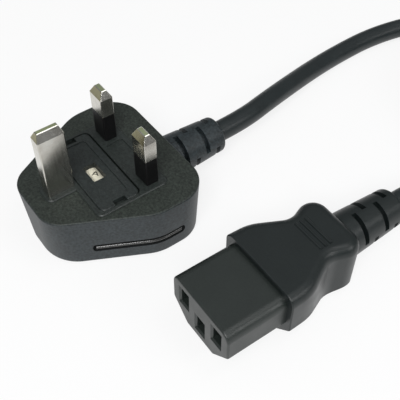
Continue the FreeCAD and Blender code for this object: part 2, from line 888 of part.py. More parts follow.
def cord_run(name, points):
    """One visible stretch of cord; prints its radii and checks its volume."""
    radii = bend_radii(points)
    solid, length = tube(points, cord_radius, radii)
    expected = math.pi * cord_radius ** 2 * length
    print(name, "length", round(length, 1), "radii", [round(r, 1) for r in radii])
    print(name, "volume over section times length", round(solid.Volume / expected, 5))
    return solid, length


def cord_coil():
    """Outer shape of the tied coil of spare cord, lying on the table."""
    half_width = cord_diameter * coil_columns / 2
    top = cord_diameter + coil_layer_rise * (coil_rows - 1)
    half_top = half_width - cord_radius * (coil_rows - 1)
    section = [
        (-half_width, 0.0),
        (half_width, 0.0),
        (half_width, coil_side_height),
        (half_top, top),
        (-half_top, top),
        (-half_width, coil_side_height),
    ]
    corners = [Vector(coil_middle_radius + r, 0, z) for r, z in section]
    wire = Part.makePolygon(corners + corners[:1])
    ring = Part.Face(wire).revolve(Vector(0, 0, 0), UP, 360)
    ring.translate(Vector(coil_x, coil_y, 0))
    return ring


def placed(shape):
    """Turns a connector piece to its heading and moves it to its place."""
    shape.rotate(Vector(0, 0, 0), UP, connector_heading)
    shape.translate(Vector(connector_x, connector_y, 0))
    return shape


def save(name, shape):
    solids = shape.Solids
    shape = solids[0] if len(solids) == 1 else Part.makeCompound(solids)
    shape.exportStep("parts/" + name + ".step")
    print(name, "solids", len(solids), "volume", round(shape.Volume, 2), "valid", shape.isValid())


def build():
    os.makedirs("parts", exist_ok=True)
    pins = {
        "earth_pin": earth_pin(),
        "live_pin": power_pin(1),
        "neutral_pin": tailed(power_pin(-1), -power_pin_x, 0.0, neutral_barrel_y),
    }
    sleeves = {"live_pin_sleeve": pin_sleeve(1), "neutral_pin_sleeve": pin_sleeve(-1)}
    clips = {"load_fuse_clip": load_clip(), "supply_fuse_clip": supply_clip()}
    metal = list(pins.values()) + list(clips.values())
    block = bridge_block()
    bridge = block.cut([fuse_pocket()] + metal + list(sleeves.values()))
    panel = rounded_plate(
        -panel_half_x, panel_half_x, panel_y_min, panel_y_max,
        pin_plane - panel_depth, pin_plane + overshoot, panel_corner_radius,
    )
    bridge = bridge.cut(panel)

    ceramic, wire, caps = fuse_parts()
    cores = plug_cores()
    plug_end = cord_end(sheath_end_y, relief_end_y, cord_exit_z)
    shell = plug_shell().fuse(
        strain_relief(cord_end_y, relief_length, cord_exit_z, slot_first_y)
    )
    barrels = [
        barrel_space(0.0, earth_barrel_y, barrel_z),
        barrel_space(-power_pin_x, neutral_barrel_y, barrel_z),
        barrel_space(-clip_x, supply_barrel_y, barrel_z),
    ]
    inner = [block, plug_end] + metal + barrels + list(cores.values())
    shell = shell.cut(inner + [groove_cutter()])

    save("plug_body", shell)
    save("pin_bridge", bridge)
    for name, shape in {**pins, **sleeves, **clips}.items():
        save(name, shape)
    save("fuse_carrier", fuse_carrier())
    save("fuse_tube", ceramic)
    save("fuse_wire", wire)
    save("supply_fuse_cap", caps[0])
    save("load_fuse_cap", caps[1])
    for name, shape in cores.items():
        save("plug_" + name + "_core", shape)
    save("plug_cord_end", plug_end)

    insert = connector_insert()
    contacts = [connector_contact(x, z) for x, z in socket_places()]
    names = ("neutral", "earth", "line")
    far_cores = connector_cores()
    far_end = cord_end(connector_sheath_end, connector_end_y, connector_axis_z)
    crimps = [
        barrel_space(x, contact_recess + contact_length, z) for x, z in socket_places()
    ]
    grip = connector_grip().cut([insert, far_end] + contacts + crimps + list(far_cores.values()))
    insert = insert.cut(contacts)
    save("connector_grip", placed(grip))
    save("connector_insert", placed(insert))
    for name, contact in zip(names, contacts):
        save("connector_" + name + "_contact", placed(contact))
    for name, shape in far_cores.items():
        save("connector_" + name + "_core", placed(shape))
    save("connector_cord_end", placed(far_end))

    starts = [
        (0.0, relief_end_y, cord_exit_z),
        (0.0, relief_end_y + cord_first_run, cord_exit_z),
    ]
    plug_run, plug_length = cord_run("plug_cord_run", starts + plug_cord_points)
    save("plug_cord_run", plug_run)
    starts = [
        tuple(placed(Part.Vertex(0, y, connector_axis_z)).Point)
        for y in (connector_end_y, connector_end_y + cord_first_run)
    ]
    far_run, far_length = cord_run("connector_cord_run", starts + connector_cord_points)
    save("connector_cord_run", far_run)
    save("cord_coil", cord_coil())
    print("visible cord", round(plug_length + far_length, 1))


build()
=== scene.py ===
import json
import math

import bmesh
import bpy
from mathutils import Matrix, Vector
from mathutils.geometry import convex_hull_2d


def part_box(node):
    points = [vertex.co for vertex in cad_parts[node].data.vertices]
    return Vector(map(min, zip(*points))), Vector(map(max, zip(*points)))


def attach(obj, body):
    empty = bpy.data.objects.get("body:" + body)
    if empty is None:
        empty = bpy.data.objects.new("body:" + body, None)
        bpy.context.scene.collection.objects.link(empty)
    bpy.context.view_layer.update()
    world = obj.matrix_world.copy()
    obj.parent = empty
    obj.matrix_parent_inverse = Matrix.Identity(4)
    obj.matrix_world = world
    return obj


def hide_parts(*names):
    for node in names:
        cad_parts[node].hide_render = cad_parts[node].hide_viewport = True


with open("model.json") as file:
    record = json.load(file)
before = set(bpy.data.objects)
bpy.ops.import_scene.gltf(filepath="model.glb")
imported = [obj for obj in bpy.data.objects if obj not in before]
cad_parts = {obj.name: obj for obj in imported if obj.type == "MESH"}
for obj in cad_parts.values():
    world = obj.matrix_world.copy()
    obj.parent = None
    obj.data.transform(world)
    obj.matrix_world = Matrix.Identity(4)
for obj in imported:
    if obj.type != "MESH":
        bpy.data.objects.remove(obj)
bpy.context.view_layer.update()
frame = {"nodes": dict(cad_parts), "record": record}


# Viewpoint: the lead lies on a table, seen from above the plug's cord end, to the
# right of the pins. The angle and lens are those that bring the three pins, whose
# sizes are standard, to where they stand in the picture.

view_azimuth = math.radians(53.82)
view_elevation = math.radians(48.94)
camera_place = Vector((0.13257, -0.07011, 0.16948))
sensor_width = 36.0
focal_length = 64.75


def placed(name, data):
    """Object of the given data, added to the scene."""
    thing = bpy.data.objects.new(name, data)
    bpy.context.collection.objects.link(thing)
    return thing


camera_data = bpy.data.cameras.new("view")
camera_data.sensor_width = sensor_width
camera_data.lens = focal_length
camera_data.clip_start = 0.01
camera_data.clip_end = 20.0
camera = placed("view", camera_data)
view_right = Vector((math.cos(view_azimuth), math.sin(view_azimuth), 0.0))
view_back = Vector((
    math.sin(view_azimuth) * math.cos(view_elevation),
    -math.cos(view_azimuth) * math.cos(view_elevation),
    math.sin(view_elevation),
))
view_up = view_back.cross(view_right)
turned = Matrix((view_right, view_up, view_back)).transposed().to_4x4()
camera.matrix_world = Matrix.Translation(camera_place) @ turned
bpy.context.scene.camera = camera


# Table and light: a white photographer's sweep in a dim room, so that what faces up
# reflects little and what stands upright reflects the white table. One large soft
# lamp hangs just above the viewer, and two behind the lead draw the arrises and edges.

table_side = 24.0
table_white = 0.90
shadow_share = 0.20
sweep_light = 1.0
room_light = 0.20
ceiling_light = 0.46
room_tint = (0.97, 0.985, 1.0)
sweep_top = 0.0
room_bottom = 0.06
ceiling_start = 0.58
ceiling_full = 0.76


def blank_material(name):
    """Material with an empty tree: returns it, its tree and its output."""
    material = bpy.data.materials.new(name)
    material.use_nodes = True
    tree = material.node_tree
    tree.nodes.clear()
    return material, tree, tree.nodes.new("ShaderNodeOutputMaterial")


def feed(tree, value, socket):
    """Links an output to a socket, or sets the socket to a plain value."""
    if isinstance(value, bpy.types.NodeSocket):
        tree.links.new(value, socket)
    else:
        socket.default_value = value


def ranged(tree, value, start, end, low, high):
    """Output that goes from low to high while the value goes from start to end."""
    node = tree.nodes.new("ShaderNodeMapRange")
    node.inputs["From Min"].default_value = start
    node.inputs["From Max"].default_value = end
    node.inputs["To Min"].default_value = low
    node.inputs["To Max"].default_value = high
    feed(tree, value, node.inputs["Value"])
    return node.outputs["Result"]


def combined(tree, operation, first, second):
    """Output of a sum, product or the like of two outputs or numbers."""
    node = tree.nodes.new("ShaderNodeMath")
    node.operation = operation
    feed(tree, first, node.inputs[0])
    feed(tree, second, node.inputs[1])
    return node.outputs[0]


half = table_side / 2
corners = [(-half, -half, 0), (half, -half, 0), (half, half, 0), (-half, half, 0)]
table_mesh = bpy.data.meshes.new("table")
table_mesh.from_pydata(corners, [], [(0, 1, 2, 3)])
table = placed("table", table_mesh)

# Where it is seen the table is plain white, less a share that keeps the shadow.
table_white_paper, tree, output = blank_material("table_white_paper")
paper = tree.nodes.new("ShaderNodeBsdfDiffuse")
paper.inputs["Color"].default_value = (table_white, table_white, table_white, 1)
glow = tree.nodes.new("ShaderNodeEmission")
glow.inputs["Color"].default_value = (1, 1, 1, 1)
glow.inputs["Strength"].default_value = 1.0
path = tree.nodes.new("ShaderNodeLightPath")
seen = combined(tree, "MAXIMUM", path.outputs["Is Camera Ray"], path.outputs["Is Glossy Ray"])
seen = combined(tree, "MAXIMUM", seen, path.outputs["Is Transmission Ray"])
white_share = combined(tree, "MULTIPLY", seen, 1.0 - shadow_share)
blend = tree.nodes.new("ShaderNodeMixShader")
feed(tree, white_share, blend.inputs[0])
feed(tree, paper.outputs[0], blend.inputs[1])
feed(tree, glow.outputs[0], blend.inputs[2])
feed(tree, blend.outputs[0], output.inputs["Surface"])
table_mesh.materials.append(table_white_paper)

# The room is bright at the level of the table, dim above, and lighter overhead.
world = bpy.data.worlds.new("studio")
bpy.context.scene.world = world
world.use_nodes = True
sky = world.node_tree
sky.nodes.clear()
direction = sky.nodes.new("ShaderNodeTexCoord")
upward = sky.nodes.new("ShaderNodeSeparateXYZ")
feed(sky, direction.outputs["Generated"], upward.inputs[0])
walls = ranged(sky, upward.outputs["Z"], sweep_top, room_bottom, sweep_light, room_light)
ceiling = ranged(
    sky, upward.outputs["Z"], ceiling_start, ceiling_full, 0.0, ceiling_light - room_light
)
room = sky.nodes.new("ShaderNodeBackground")
room.inputs["Color"].default_value = (*room_tint, 1)
feed(sky, combined(sky, "ADD", walls, ceiling), room.inputs["Strength"])
sky_out = sky.nodes.new("ShaderNodeOutputWorld")
feed(sky, room.outputs[0], sky_out.inputs["Surface"])


def soft_lamp(name, place, aim, width, height, power):
    """Adds a rectangular soft box that faces the aim point."""
    data = bpy.data.lights.new(name, "AREA")
    data.shape = "RECTANGLE"
    data.size = width
    data.size_y = height
    data.energy = power
    lamp = placed(name, data)
    lamp.location = place
    lamp.rotation_euler = (Vector(aim) - Vector(place)).to_track_quat("-Z", "Y").to_euler()


soft_lamp(
    "viewer_box", place=(0.46, -0.46, 0.76), aim=(0.02, 0.0, 0.0),
    width=0.45, height=0.45, power=7.0,
)
soft_lamp(
    "arris_box", place=(0.27, 0.32, 1.05), aim=(0.0, 0.0, 0.04),
    width=0.34, height=0.34, power=0.95,
)
soft_lamp(
    "right_box", place=(0.75, 0.42, 0.55), aim=(0.02, 0.0, 0.01),
    width=0.5, height=0.22, power=1.6,
)


# Cord: round flexible mains cord with a black extruded jacket. It runs from the
# plug's strain relief across the table and out of the picture, is wound up there in
# a tied coil, and comes back to the connector.

cord_diameter = 0.0068
cord_colour = (0.014, 0.019, 0.020)
jacket_grain = 0.0009
jacket_depth = 0.000012
plug_exit = (0.0, 0.033, 0.0094)
plug_route = [
    plug_exit,
    (0.0, 0.0440, 0.0094),
    (-0.0030, 0.0570, 0.0086),
    (-0.0068, 0.0710, 0.0064),
    (-0.0102, 0.0850, 0.0044),
    (-0.0122, 0.1000, 0.0034),
    (-0.0124, 0.1160, 0.0034),
    (-0.0096, 0.1320, 0.0034),
    (-0.0036, 0.1470, 0.0034),
    (0.0055, 0.1600, 0.0034),
]
connector_route = [
    (0.0800, 0.1050, 0.0130),
    (0.0728, 0.0980, 0.0100),
    (0.0646, 0.0886, 0.0089),
    (0.0582, 0.0775, 0.0092),
    (0.05538, 0.06619, 0.0102),
    (0.05519, 0.05519, 0.0102),
]

coil_centre = Vector((0.057, 0.145, 0.0))
coil_entry_angle = math.radians(146.0)
coil_leaving_turn = 6.54
coil_points_per_turn = 16
coil_stations = [
    (0.0, 0.0476, 0.0034),
    (2.9, 0.0279, 0.0034),
    (3.15, 0.0305, 0.0098),
    (4.9, 0.0424, 0.0098),
    (5.2, 0.0368, 0.0165),
    (6.4, 0.0440, 0.0165),
    (6.6, 0.0455, 0.0150),
]


def coil_station(turn):
    """Radius and height of the coil's centreline after a number of turns."""
    for (start, r0, z0), (end, r1, z1) in zip(coil_stations, coil_stations[1:]):
        if turn <= end:
            share = (turn - start) / (end - start)
            return r0 + (r1 - r0) * share, z0 + (z1 - z0) * share
    return coil_stations[-1][1:]


coil_route = []
for i in range(int(coil_leaving_turn * coil_points_per_turn) + 1):
    turn = i / coil_points_per_turn
    radius, height = coil_station(turn)
    angle = coil_entry_angle - turn * math.tau
    coil_route.append((
        coil_centre.x + radius * math.cos(angle),
        coil_centre.y + radius * math.sin(angle),
        height,
    ))


def surface_material(name):
    """Material of one shader: returns it, its tree, the shader and the place on a piece."""
    material, tree, output = blank_material(name)
    shader = tree.nodes.new("ShaderNodeBsdfPrincipled")
    feed(tree, shader.outputs[0], output.inputs["Surface"])
    place = tree.nodes.new("ShaderNodeTexCoord").outputs["Object"]
    return material, tree, shader, place


def noise(tree, place, size, detail):
    """Output of a noise whose features are about the given size across."""
    node = tree.nodes.new("ShaderNodeTexNoise")
    node.inputs["Scale"].default_value = 1.0 / size
    node.inputs["Detail"].default_value = detail
    feed(tree, place, node.inputs["Vector"])
    return node.outputs["Fac"]


noise_low = 0.3
noise_high = 0.7


def varied(tree, pattern, low, high):
    """Output that goes from low to high with a noise, whose values keep near 0.5."""
    return ranged(tree, pattern, noise_low, noise_high, low, high)


def tinted(tree, colour, strength):
    """A colour, or a colour output, made darker or lighter by an output."""
    node = tree.nodes.new("ShaderNodeVectorMath")
    node.operation = "SCALE"
    feed(tree, colour, node.inputs[0])
    feed(tree, strength, node.inputs["Scale"])
    return node.outputs[0]


def grained(tree, shader, relief, depth):
    """Gives a shader a fine relief, of a depth that is a number or an output."""
    bump = tree.nodes.new("ShaderNodeBump")
    feed(tree, depth, bump.inputs["Distance"])
    feed(tree, relief, bump.inputs["Height"])
    feed(tree, bump.outputs["Normal"], shader.inputs["Normal"])


cloud_size = 0.006
cloud_strength = 0.06
speckle_size = 0.0007
sheen_spread = 0.04


def moulded_plastic(
    name, colour, roughness, grain=0.0006, depth=0.000006, speckle=0.10, gloss=0.5
):
    """Plastic with the fine grain of its mould and a slightly uneven shade and sheen."""
    material, tree, shader, place = surface_material(name)
    shader.inputs["Specular IOR Level"].default_value = gloss
    cloud = noise(tree, place, cloud_size, detail=3.0)
    spots = noise(tree, place, speckle_size, detail=2.0)
    shade = combined(
        tree, "MULTIPLY",
        varied(tree, cloud, 1.0 - cloud_strength, 1.0 + cloud_strength),
        varied(tree, spots, 1.0 - speckle, 1.0 + speckle),
    )
    feed(tree, tinted(tree, colour, shade), shader.inputs["Base Color"])
    sheen = varied(tree, cloud, roughness - sheen_spread, roughness + sheen_spread)
    feed(tree, sheen, shader.inputs["Roughness"])
    grained(tree, shader, noise(tree, place, grain, detail=2.0), depth)
    return material


def draw_line(curve, kind, points):
    """Adds a line of the given kind over the points to a curve, and returns it."""
    line = curve.splines.new(kind)
    line.points.add(len(points) - 1)
    for control, place in zip(line.points, points):
        control.co = (*place, 1.0)
    return line


cord_curve = bpy.data.curves.new("cord", "CURVE")
cord_curve.dimensions = "3D"
cord_curve.bevel_depth = cord_diameter / 2
cord_curve.bevel_resolution = 7
cord_curve.resolution_u = 10
cord_curve.render_resolution_u = 0
cord_curve.use_fill_caps = True
cord_line = draw_line(cord_curve, "NURBS", plug_route + coil_route + connector_route)
cord_line.order_u = 3
cord_line.use_endpoint_u = True
cord_jacket = moulded_plastic(
    "cord_jacket", cord_colour, roughness=0.40, grain=jacket_grain, depth=jacket_depth,
    speckle=0.06, gloss=0.4,
)
cord_curve.materials.append(cord_jacket)
cord = placed("cord", cord_curve)
root_body = "plug_and_lead"
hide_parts("plug_cord_run", "cord_coil", "connector_cord_run")
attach(cord, root_body)


# Coil ties: two loops of woven strap, a centimetre wide, pulled tight round the whole
# bundle of the wound lead on opposite sides of the coil.

tie_angles = (math.radians(45.0), math.radians(225.0))
tie_width = 0.010
tie_thickness = 0.0009
tie_colour = (0.012, 0.012, 0.014)
points_round_turn = 24

# The cord's curve keeps inside its control points, at this share of their radius.
drawn_radius_share = (3 + math.cos(math.tau / coil_points_per_turn)) / 4


def tight_loop(angle):
    """Outline of a strap round the turns that pass the angle: distance out and height."""
    stand_off = (cord_diameter + tie_thickness) / 2
    turn = (coil_entry_angle - angle) / math.tau % 1.0
    around = []
    while turn < coil_leaving_turn:
        radius, height = coil_station(turn)
        for i in range(points_round_turn):
            lean = math.tau * i / points_round_turn
            out = radius * drawn_radius_share + stand_off * math.cos(lean)
            up = max(height + stand_off * math.sin(lean), tie_thickness / 2)
            around.append((out, up))
        turn += 1.0
    return [around[i] for i in convex_hull_2d(around)]


def plain_mesh(source):
    """Mesh of an object as its curve and modifiers make it. The object itself goes."""
    evaluated = source.evaluated_get(bpy.context.evaluated_depsgraph_get())
    mesh = bpy.data.meshes.new_from_object(evaluated)
    bpy.data.objects.remove(source)
    return mesh


tie_tree = bpy.data.node_groups.new("coil_tie", "GeometryNodeTree")
tie_tree.interface.new_socket("Loop", in_out="INPUT", socket_type="NodeSocketGeometry")
tie_sizes = {"Strap Width": tie_width, "Strap Thickness": tie_thickness}
tie_sockets = {
    label: tie_tree.interface.new_socket(
        label, in_out="INPUT", socket_type="NodeSocketFloat"
    ).identifier
    for label in tie_sizes
}
tie_tree.interface.new_socket("Strap", in_out="OUTPUT", socket_type="NodeSocketGeometry")
given = tie_tree.nodes.new("NodeGroupInput").outputs
made = tie_tree.nodes.new("NodeGroupOutput")
section = tie_tree.nodes.new("GeometryNodeCurvePrimitiveQuadrilateral")
feed(tie_tree, given["Strap Thickness"], section.inputs["Width"])
feed(tie_tree, given["Strap Width"], section.inputs["Height"])
band = tie_tree.nodes.new("GeometryNodeCurveToMesh")
feed(tie_tree, given["Loop"], band.inputs["Curve"])
feed(tie_tree, section.outputs[0], band.inputs["Profile Curve"])
solid = tie_tree.nodes.new("GeometryNodeRealizeInstances")
feed(tie_tree, band.outputs[0], solid.inputs[0])
tie_web = moulded_plastic(
    "tie_web", tie_colour, roughness=0.85, depth=0.00020, speckle=0.30, gloss=0.2
)
dressed = tie_tree.nodes.new("GeometryNodeSetMaterial")
feed(tie_tree, tie_web, dressed.inputs["Material"])
feed(tie_tree, solid.outputs[0], dressed.inputs["Geometry"])
feed(tie_tree, dressed.outputs[0], made.inputs[0])

straps = bmesh.new()
for angle in tie_angles:
    loop_curve = bpy.data.curves.new("tie_loop", "CURVE")
    loop_curve.dimensions = "3D"
    loop = draw_line(loop_curve, "POLY", [(out, up, 0.0) for out, up in tight_loop(angle)])
    loop.use_cyclic_u = True
    source = placed("tie_loop", loop_curve)
    wrapping = source.modifiers.new("strap", "NODES")
    wrapping.node_group = tie_tree
    for label, size in tie_sizes.items():
        wrapping[tie_sockets[label]] = size
    strap_mesh = plain_mesh(source)
    strap_mesh.transform(
        Matrix.Translation(coil_centre) @ Matrix.Rotation(angle, 4, "Z")
        @ Matrix.Rotation(math.radians(90.0), 4, "X")
    )
    straps.from_mesh(strap_mesh)
bmesh.ops.recalc_face_normals(straps, faces=straps.faces)
tie_mesh = bpy.data.meshes.new("coil_ties")
straps.to_mesh(tie_mesh)
straps.free()
tie_mesh.materials.append(tie_web)
coil_ties = placed("coil_ties", tie_mesh)
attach(coil_ties, root_body)


# Plug moulding: soft black PVC, injection moulded in one shot round the hard bridge
# and the cord. The pin face has a spark finish, the walls and the segmented strain
# relief are smoother, and a groove with a shiny bead along each flank gives a hold.
# The groove round the bead is painted near black: painted shade.

body_of_node = {
    node: body
    for body, nodes in frame["record"]["behaviour"]["bodies"].items()
    for node in nodes
}

weld_distance = 2e-7
level_within = 1e-6
arris_turn = math.radians(15.0)
crease_turn = math.radians(32.0)
flat_face_weight = 90


def finished(node, name, material, arris=0.0):
    """Smoothly shaded copy of a node, with its level edges eased by the arris."""
    mesh = frame["nodes"][node].data.copy()
    mesh.name = name
    mesh.attributes.remove(mesh.attributes["custom_normal"])
    work = bmesh.new()
    work.from_mesh(mesh)
    bmesh.ops.remove_doubles(work, verts=work.verts, dist=weld_distance)
    for face in work.faces:
        face.smooth = True
    if arris:
        weight = work.edges.layers.float.new("bevel_weight_edge")
        for edge in work.edges:
            level = abs(edge.verts[0].co.z - edge.verts[1].co.z) < level_within
            turned = len(edge.link_faces) == 2 and edge.calc_face_angle() > arris_turn
            edge[weight] = float(level and turned)
    work.to_mesh(mesh)
    work.free()
    mesh.set_sharp_from_angle(angle=crease_turn)
    mesh.materials.clear()
    mesh.materials.append(material)
    piece = placed(name, mesh)
    if arris:
        eased = piece.modifiers.new("arris", "BEVEL")
        eased.width = arris
        eased.segments = 2
        eased.limit_method = "WEIGHT"
    evened = piece.modifiers.new("even_normals", "WEIGHTED_NORMAL")
    evened.keep_sharp = True
    evened.weight = flat_face_weight
    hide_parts(node)
    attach(piece, body_of_node[node])
    return piece


def blended(tree, share, first, second):
    """Colour output that goes from the first to the second with the share."""
    node = tree.nodes.new("ShaderNodeMix")
    node.data_type = "RGBA"
    feed(tree, share, node.inputs["Factor"])
    feed(tree, (*first, 1), node.inputs["A"])
    feed(tree, (*second, 1), node.inputs["B"])
    return node.outputs["Result"]


pin_face_height = 0.0190
face_edge_band = 0.00045
face_colour = (0.022, 0.028, 0.023)
wall_colour = (0.019, 0.026, 0.029)
face_roughness = 0.55
wall_roughness = 0.46
pvc_gloss = 0.42
pvc_cloud = 0.10
pvc_speckle = 0.55
spark_grain = 0.00045
spark_depth = 0.00014
wall_depth = 0.000010

plug_pvc, tree, shader, place = surface_material("plug_pvc")
shader.inputs["Specular IOR Level"].default_value = pvc_gloss
axes = tree.nodes.new("ShaderNodeSeparateXYZ")
feed(tree, place, axes.inputs[0])
on_face = ranged(
    tree, axes.outputs["Z"], pin_face_height - face_edge_band, pin_face_height, 0.0, 1.0
)
cloud = noise(tree, place, cloud_size, detail=4.0)
spots = noise(tree, place, speckle_size, detail=3.0)
shade = combined(
    tree, "MULTIPLY",
    varied(tree, cloud, 1.0 - pvc_cloud, 1.0 + pvc_cloud),
    varied(tree, spots, 1.0 - pvc_speckle, 1.0 + pvc_speckle),
)
hue = blended(tree, on_face, wall_colour, face_colour)
feed(tree, tinted(tree, hue, shade), shader.inputs["Base Color"])
sheen = ranged(tree, on_face, 0.0, 1.0, wall_roughness, face_roughness)
feed(tree, sheen, shader.inputs["Roughness"])
depth = ranged(tree, on_face, 0.0, 1.0, wall_depth, spark_depth)
grained(tree, shader, noise(tree, place, spark_grain, detail=2.0), depth)

plug_moulding = finished("plug_body", "plug_moulding", plug_pvc)

groove_height = 0.0067
groove_band = 0.0011
groove_widening = 1.55
groove_least_tilt = 0.25
groove_most_tilt = 0.98
outer_wall_x = 0.0135
bead_radius = 0.00052
bead_start_y = -0.0206
bead_end_y = 0.0031
bead_row_band = 0.00005
bead_drop = 0.00030

# Near black with little sheen: painted shade in the groove on each side of the bead.
groove_painted_shade = moulded_plastic("groove_painted_shade", (0.004, 0.005, 0.005), roughness=0.7, gloss=0.1)
bead_shine = moulded_plastic("bead_shine", (0.026, 0.026, 0.025), roughness=0.24, gloss=0.9)
plug_skins = plug_moulding.data.materials
for skin in (groove_painted_shade, bead_shine):
    plug_skins.append(skin)


def by_groove(face):
    """Whether a face lies on the outer wall at the height of the groove."""
    middle = face.calc_center_median()
    return abs(middle.z - groove_height) < groove_band and abs(middle.x) > outer_wall_x


# The groove is the faces that lean, and those that smooth edges join to them.
shape = bmesh.new()
shape.from_mesh(plug_moulding.data)
in_groove = {
    face for face in shape.faces
    if by_groove(face) and groove_least_tilt < abs(face.normal.z) < groove_most_tilt
}
front = list(in_groove)
while front:
    for edge in front.pop().edges:
        if edge.smooth:
            reached = {face for face in edge.link_faces if by_groove(face)} - in_groove
            in_groove |= reached
            front.extend(reached)
groove_points = {v for face in in_groove for v in face.verts}
bottom = sorted(
    (v.co.y, v.co.x, v.co.z) for v in groove_points
    if abs(v.co.z - groove_height) < bead_row_band and bead_start_y < v.co.y < bead_end_y
)
# The groove's faces take the near-black painted shade.
for face in in_groove:
    face.material_index = plug_skins.find("groove_painted_shade")
for v in groove_points:
    v.co.z = groove_height + (v.co.z - groove_height) * groove_widening

# The bead follows the groove's bottom row and is joined into the moulding.
bead_curve = bpy.data.curves.new("finger_bead", "CURVE")
bead_curve.dimensions = "3D"
bead_curve.bevel_depth = bead_radius
bead_curve.bevel_resolution = 3
bead_curve.use_fill_caps = True
for side in (1, -1):
    row = [(x, y, z - bead_drop) for y, x, z in bottom if x * side > 0]
    draw_line(bead_curve, "POLY", row)
moulded = set(shape.faces)
shape.from_mesh(plain_mesh(placed("finger_bead", bead_curve)))
bead_faces = [face for face in shape.faces if face not in moulded]
bmesh.ops.recalc_face_normals(shape, faces=bead_faces)
for face in bead_faces:
    face.material_index = plug_skins.find("bead_shine")
    face.smooth = len(face.verts) == 4
shape.to_mesh(plug_moulding.data)
shape.free()


# Bridge: hard nylon block that stands half a millimetre proud of the pin face. It
# holds the pins, the clips and the fuse, and was in the mould before the PVC.

nylon_arris = 0.00015


def moulded_nylon(name, colour, roughness):
    """Hard nylon with the spark finish of its mould."""
    return moulded_plastic(
        name, colour, roughness, grain=0.00040, depth=0.00006, speckle=0.35, gloss=0.45
    )


bridge_nylon = moulded_nylon("bridge_nylon", (0.018, 0.023, 0.021), roughness=0.45)
finished("pin_bridge", "pin_bridge_block", bridge_nylon, arris=nylon_arris)


# Pins: brass bar, machined along its length, with chamfered ends and eased arrises,
# then nickel plated. The plating is worn off each end, and the chamfers at each tip
# that face along the cord's line are painted dark: painted shade.

plated_dark = (0.52, 0.50, 0.45)
plated_light = (0.68, 0.67, 0.62)
worn_dark = (0.58, 0.64, 0.38)
worn_light = (0.72, 0.80, 0.50)
# Dark shades for the tip chamfers that face along the cord's line: painted shade.
painted_shade_dark = (0.19, 0.18, 0.11)
painted_shade_light = (0.32, 0.30, 0.20)
pin_roughness = 0.20
polish_spread = 0.02
stain_size = 0.0045
stain_start = 0.45
stain_full = 0.95
streak_size = 0.0006
streak_stretch = 0.04
streak_share = 0.4
streak_depth = 0.0000004
facet_tilt = math.radians(30.0)
facet_width = 0.00028
facet_depth = facet_width / 2 * math.tan(facet_tilt)
facet_crease_turn = math.radians(25.0)
cut_tolerance = 1e-8
tip_height = 0.0026
level_tilt = 0.99
chamfer_least_tilt = 0.1
chamfer_most_tilt = 0.6
chamfer_facing = 0.7


def machined_metal(name, dark, light):
    """Metal with fine streaks along the bar and slow stains between two shades."""
    material, tree, shader, place = surface_material(name)
    shader.inputs["Metallic"].default_value = 1.0
    drawn = tree.nodes.new("ShaderNodeMapping")
    drawn.inputs["Scale"].default_value = (1.0, 1.0, streak_stretch)
    feed(tree, place, drawn.inputs["Vector"])
    streaks = noise(tree, drawn.outputs[0], streak_size, detail=4.0)
    stain = combined(tree, "MULTIPLY", streaks, streak_share)
    stain = combined(tree, "ADD", stain, noise(tree, place, stain_size, detail=3.0))
    stained = ranged(tree, stain, stain_start, stain_full, 0.0, 1.0)
    feed(tree, blended(tree, stained, dark, light), shader.inputs["Base Color"])
    polish = varied(tree, streaks, pin_roughness - polish_spread, pin_roughness + polish_spread)
    feed(tree, polish, shader.inputs["Roughness"])
    grained(tree, shader, streaks, streak_depth)
    return material


plated_brass = machined_metal("plated_brass", plated_dark, plated_light)
worn_brass = machined_metal("worn_brass", worn_dark, worn_light)
# A dark copy of the machined metal paints shade on those chamfers.
chamfer_painted_shade = machined_metal("chamfer_painted_shade", painted_shade_dark, painted_shade_light)


def burnished_tip(piece):
    """Cuts a narrow flat along each top edge of a pin, bares its worn end, and paints dark the
    chamfers that face along the cord's line, as painted shade.
    """
    skins = piece.data.materials
    for tip_skin in (worn_brass, chamfer_painted_shade):
        skins.append(tip_skin)
    shape = bmesh.new()
    shape.from_mesh(piece.data)
    top = max(v.co.z for v in shape.verts)
    rim = [v.co.copy() for v in shape.verts if v.co.z > top - level_within]
    for axis, side in ((0, 1), (0, -1), (1, 1), (1, -1)):
        facing = Vector((0, 0, math.cos(facet_tilt)))
        facing[axis] = side * math.sin(facet_tilt)
        corner = Vector((0, 0, top))
        corner[axis] = side * max(place[axis] * side for place in rim)
        cut = bmesh.ops.bisect_plane(
            shape, geom=shape.verts[:] + shape.edges[:] + shape.faces[:],
            dist=cut_tolerance, plane_co=corner - facing * facet_depth, plane_no=facing,
            clear_outer=True,
        )
        outline = [e for e in cut["geom_cut"] if isinstance(e, bmesh.types.BMEdge)]
        bmesh.ops.contextual_create(shape, geom=outline)
    bmesh.ops.recalc_face_normals(shape, faces=shape.faces)
    for face in shape.faces:
        face.smooth = True
        tilt = face.normal.z
        if face.calc_center_median().z < top - tip_height:
            continue
        if tilt > level_tilt:
            face.material_index = skins.find("worn_brass")
        elif (
            chamfer_least_tilt < tilt < chamfer_most_tilt
            and abs(face.normal.y) > chamfer_facing
        ):
            # Chamfers facing along the cord's line: painted shade.
            face.material_index = skins.find("chamfer_painted_shade")
    shape.to_mesh(piece.data)
    shape.free()
    piece.data.set_sharp_from_angle(angle=facet_crease_turn)


for node in ("earth_pin", "live_pin", "neutral_pin"):
    burnished_tip(finished(node, node + "_bar", plated_brass))


# Sleeves: black insulating plastic, moulded round the necked lower half of each power
# pin, so that no live metal can be touched while the plug is partly out of its socket.

sleeve_plastic = moulded_plastic(
    "sleeve_plastic", (0.0035, 0.0035, 0.0038), roughness=0.38, speckle=0.05, gloss=0.35
)
for node in ("live_pin_sleeve", "neutral_pin_sleeve"):
    finished(node, node + "_cover", sleeve_plastic)


# Fuse carrier: hard nylon lid with a window, a prising notch at each end and two
# cheeks that hold the fuse by its middle.

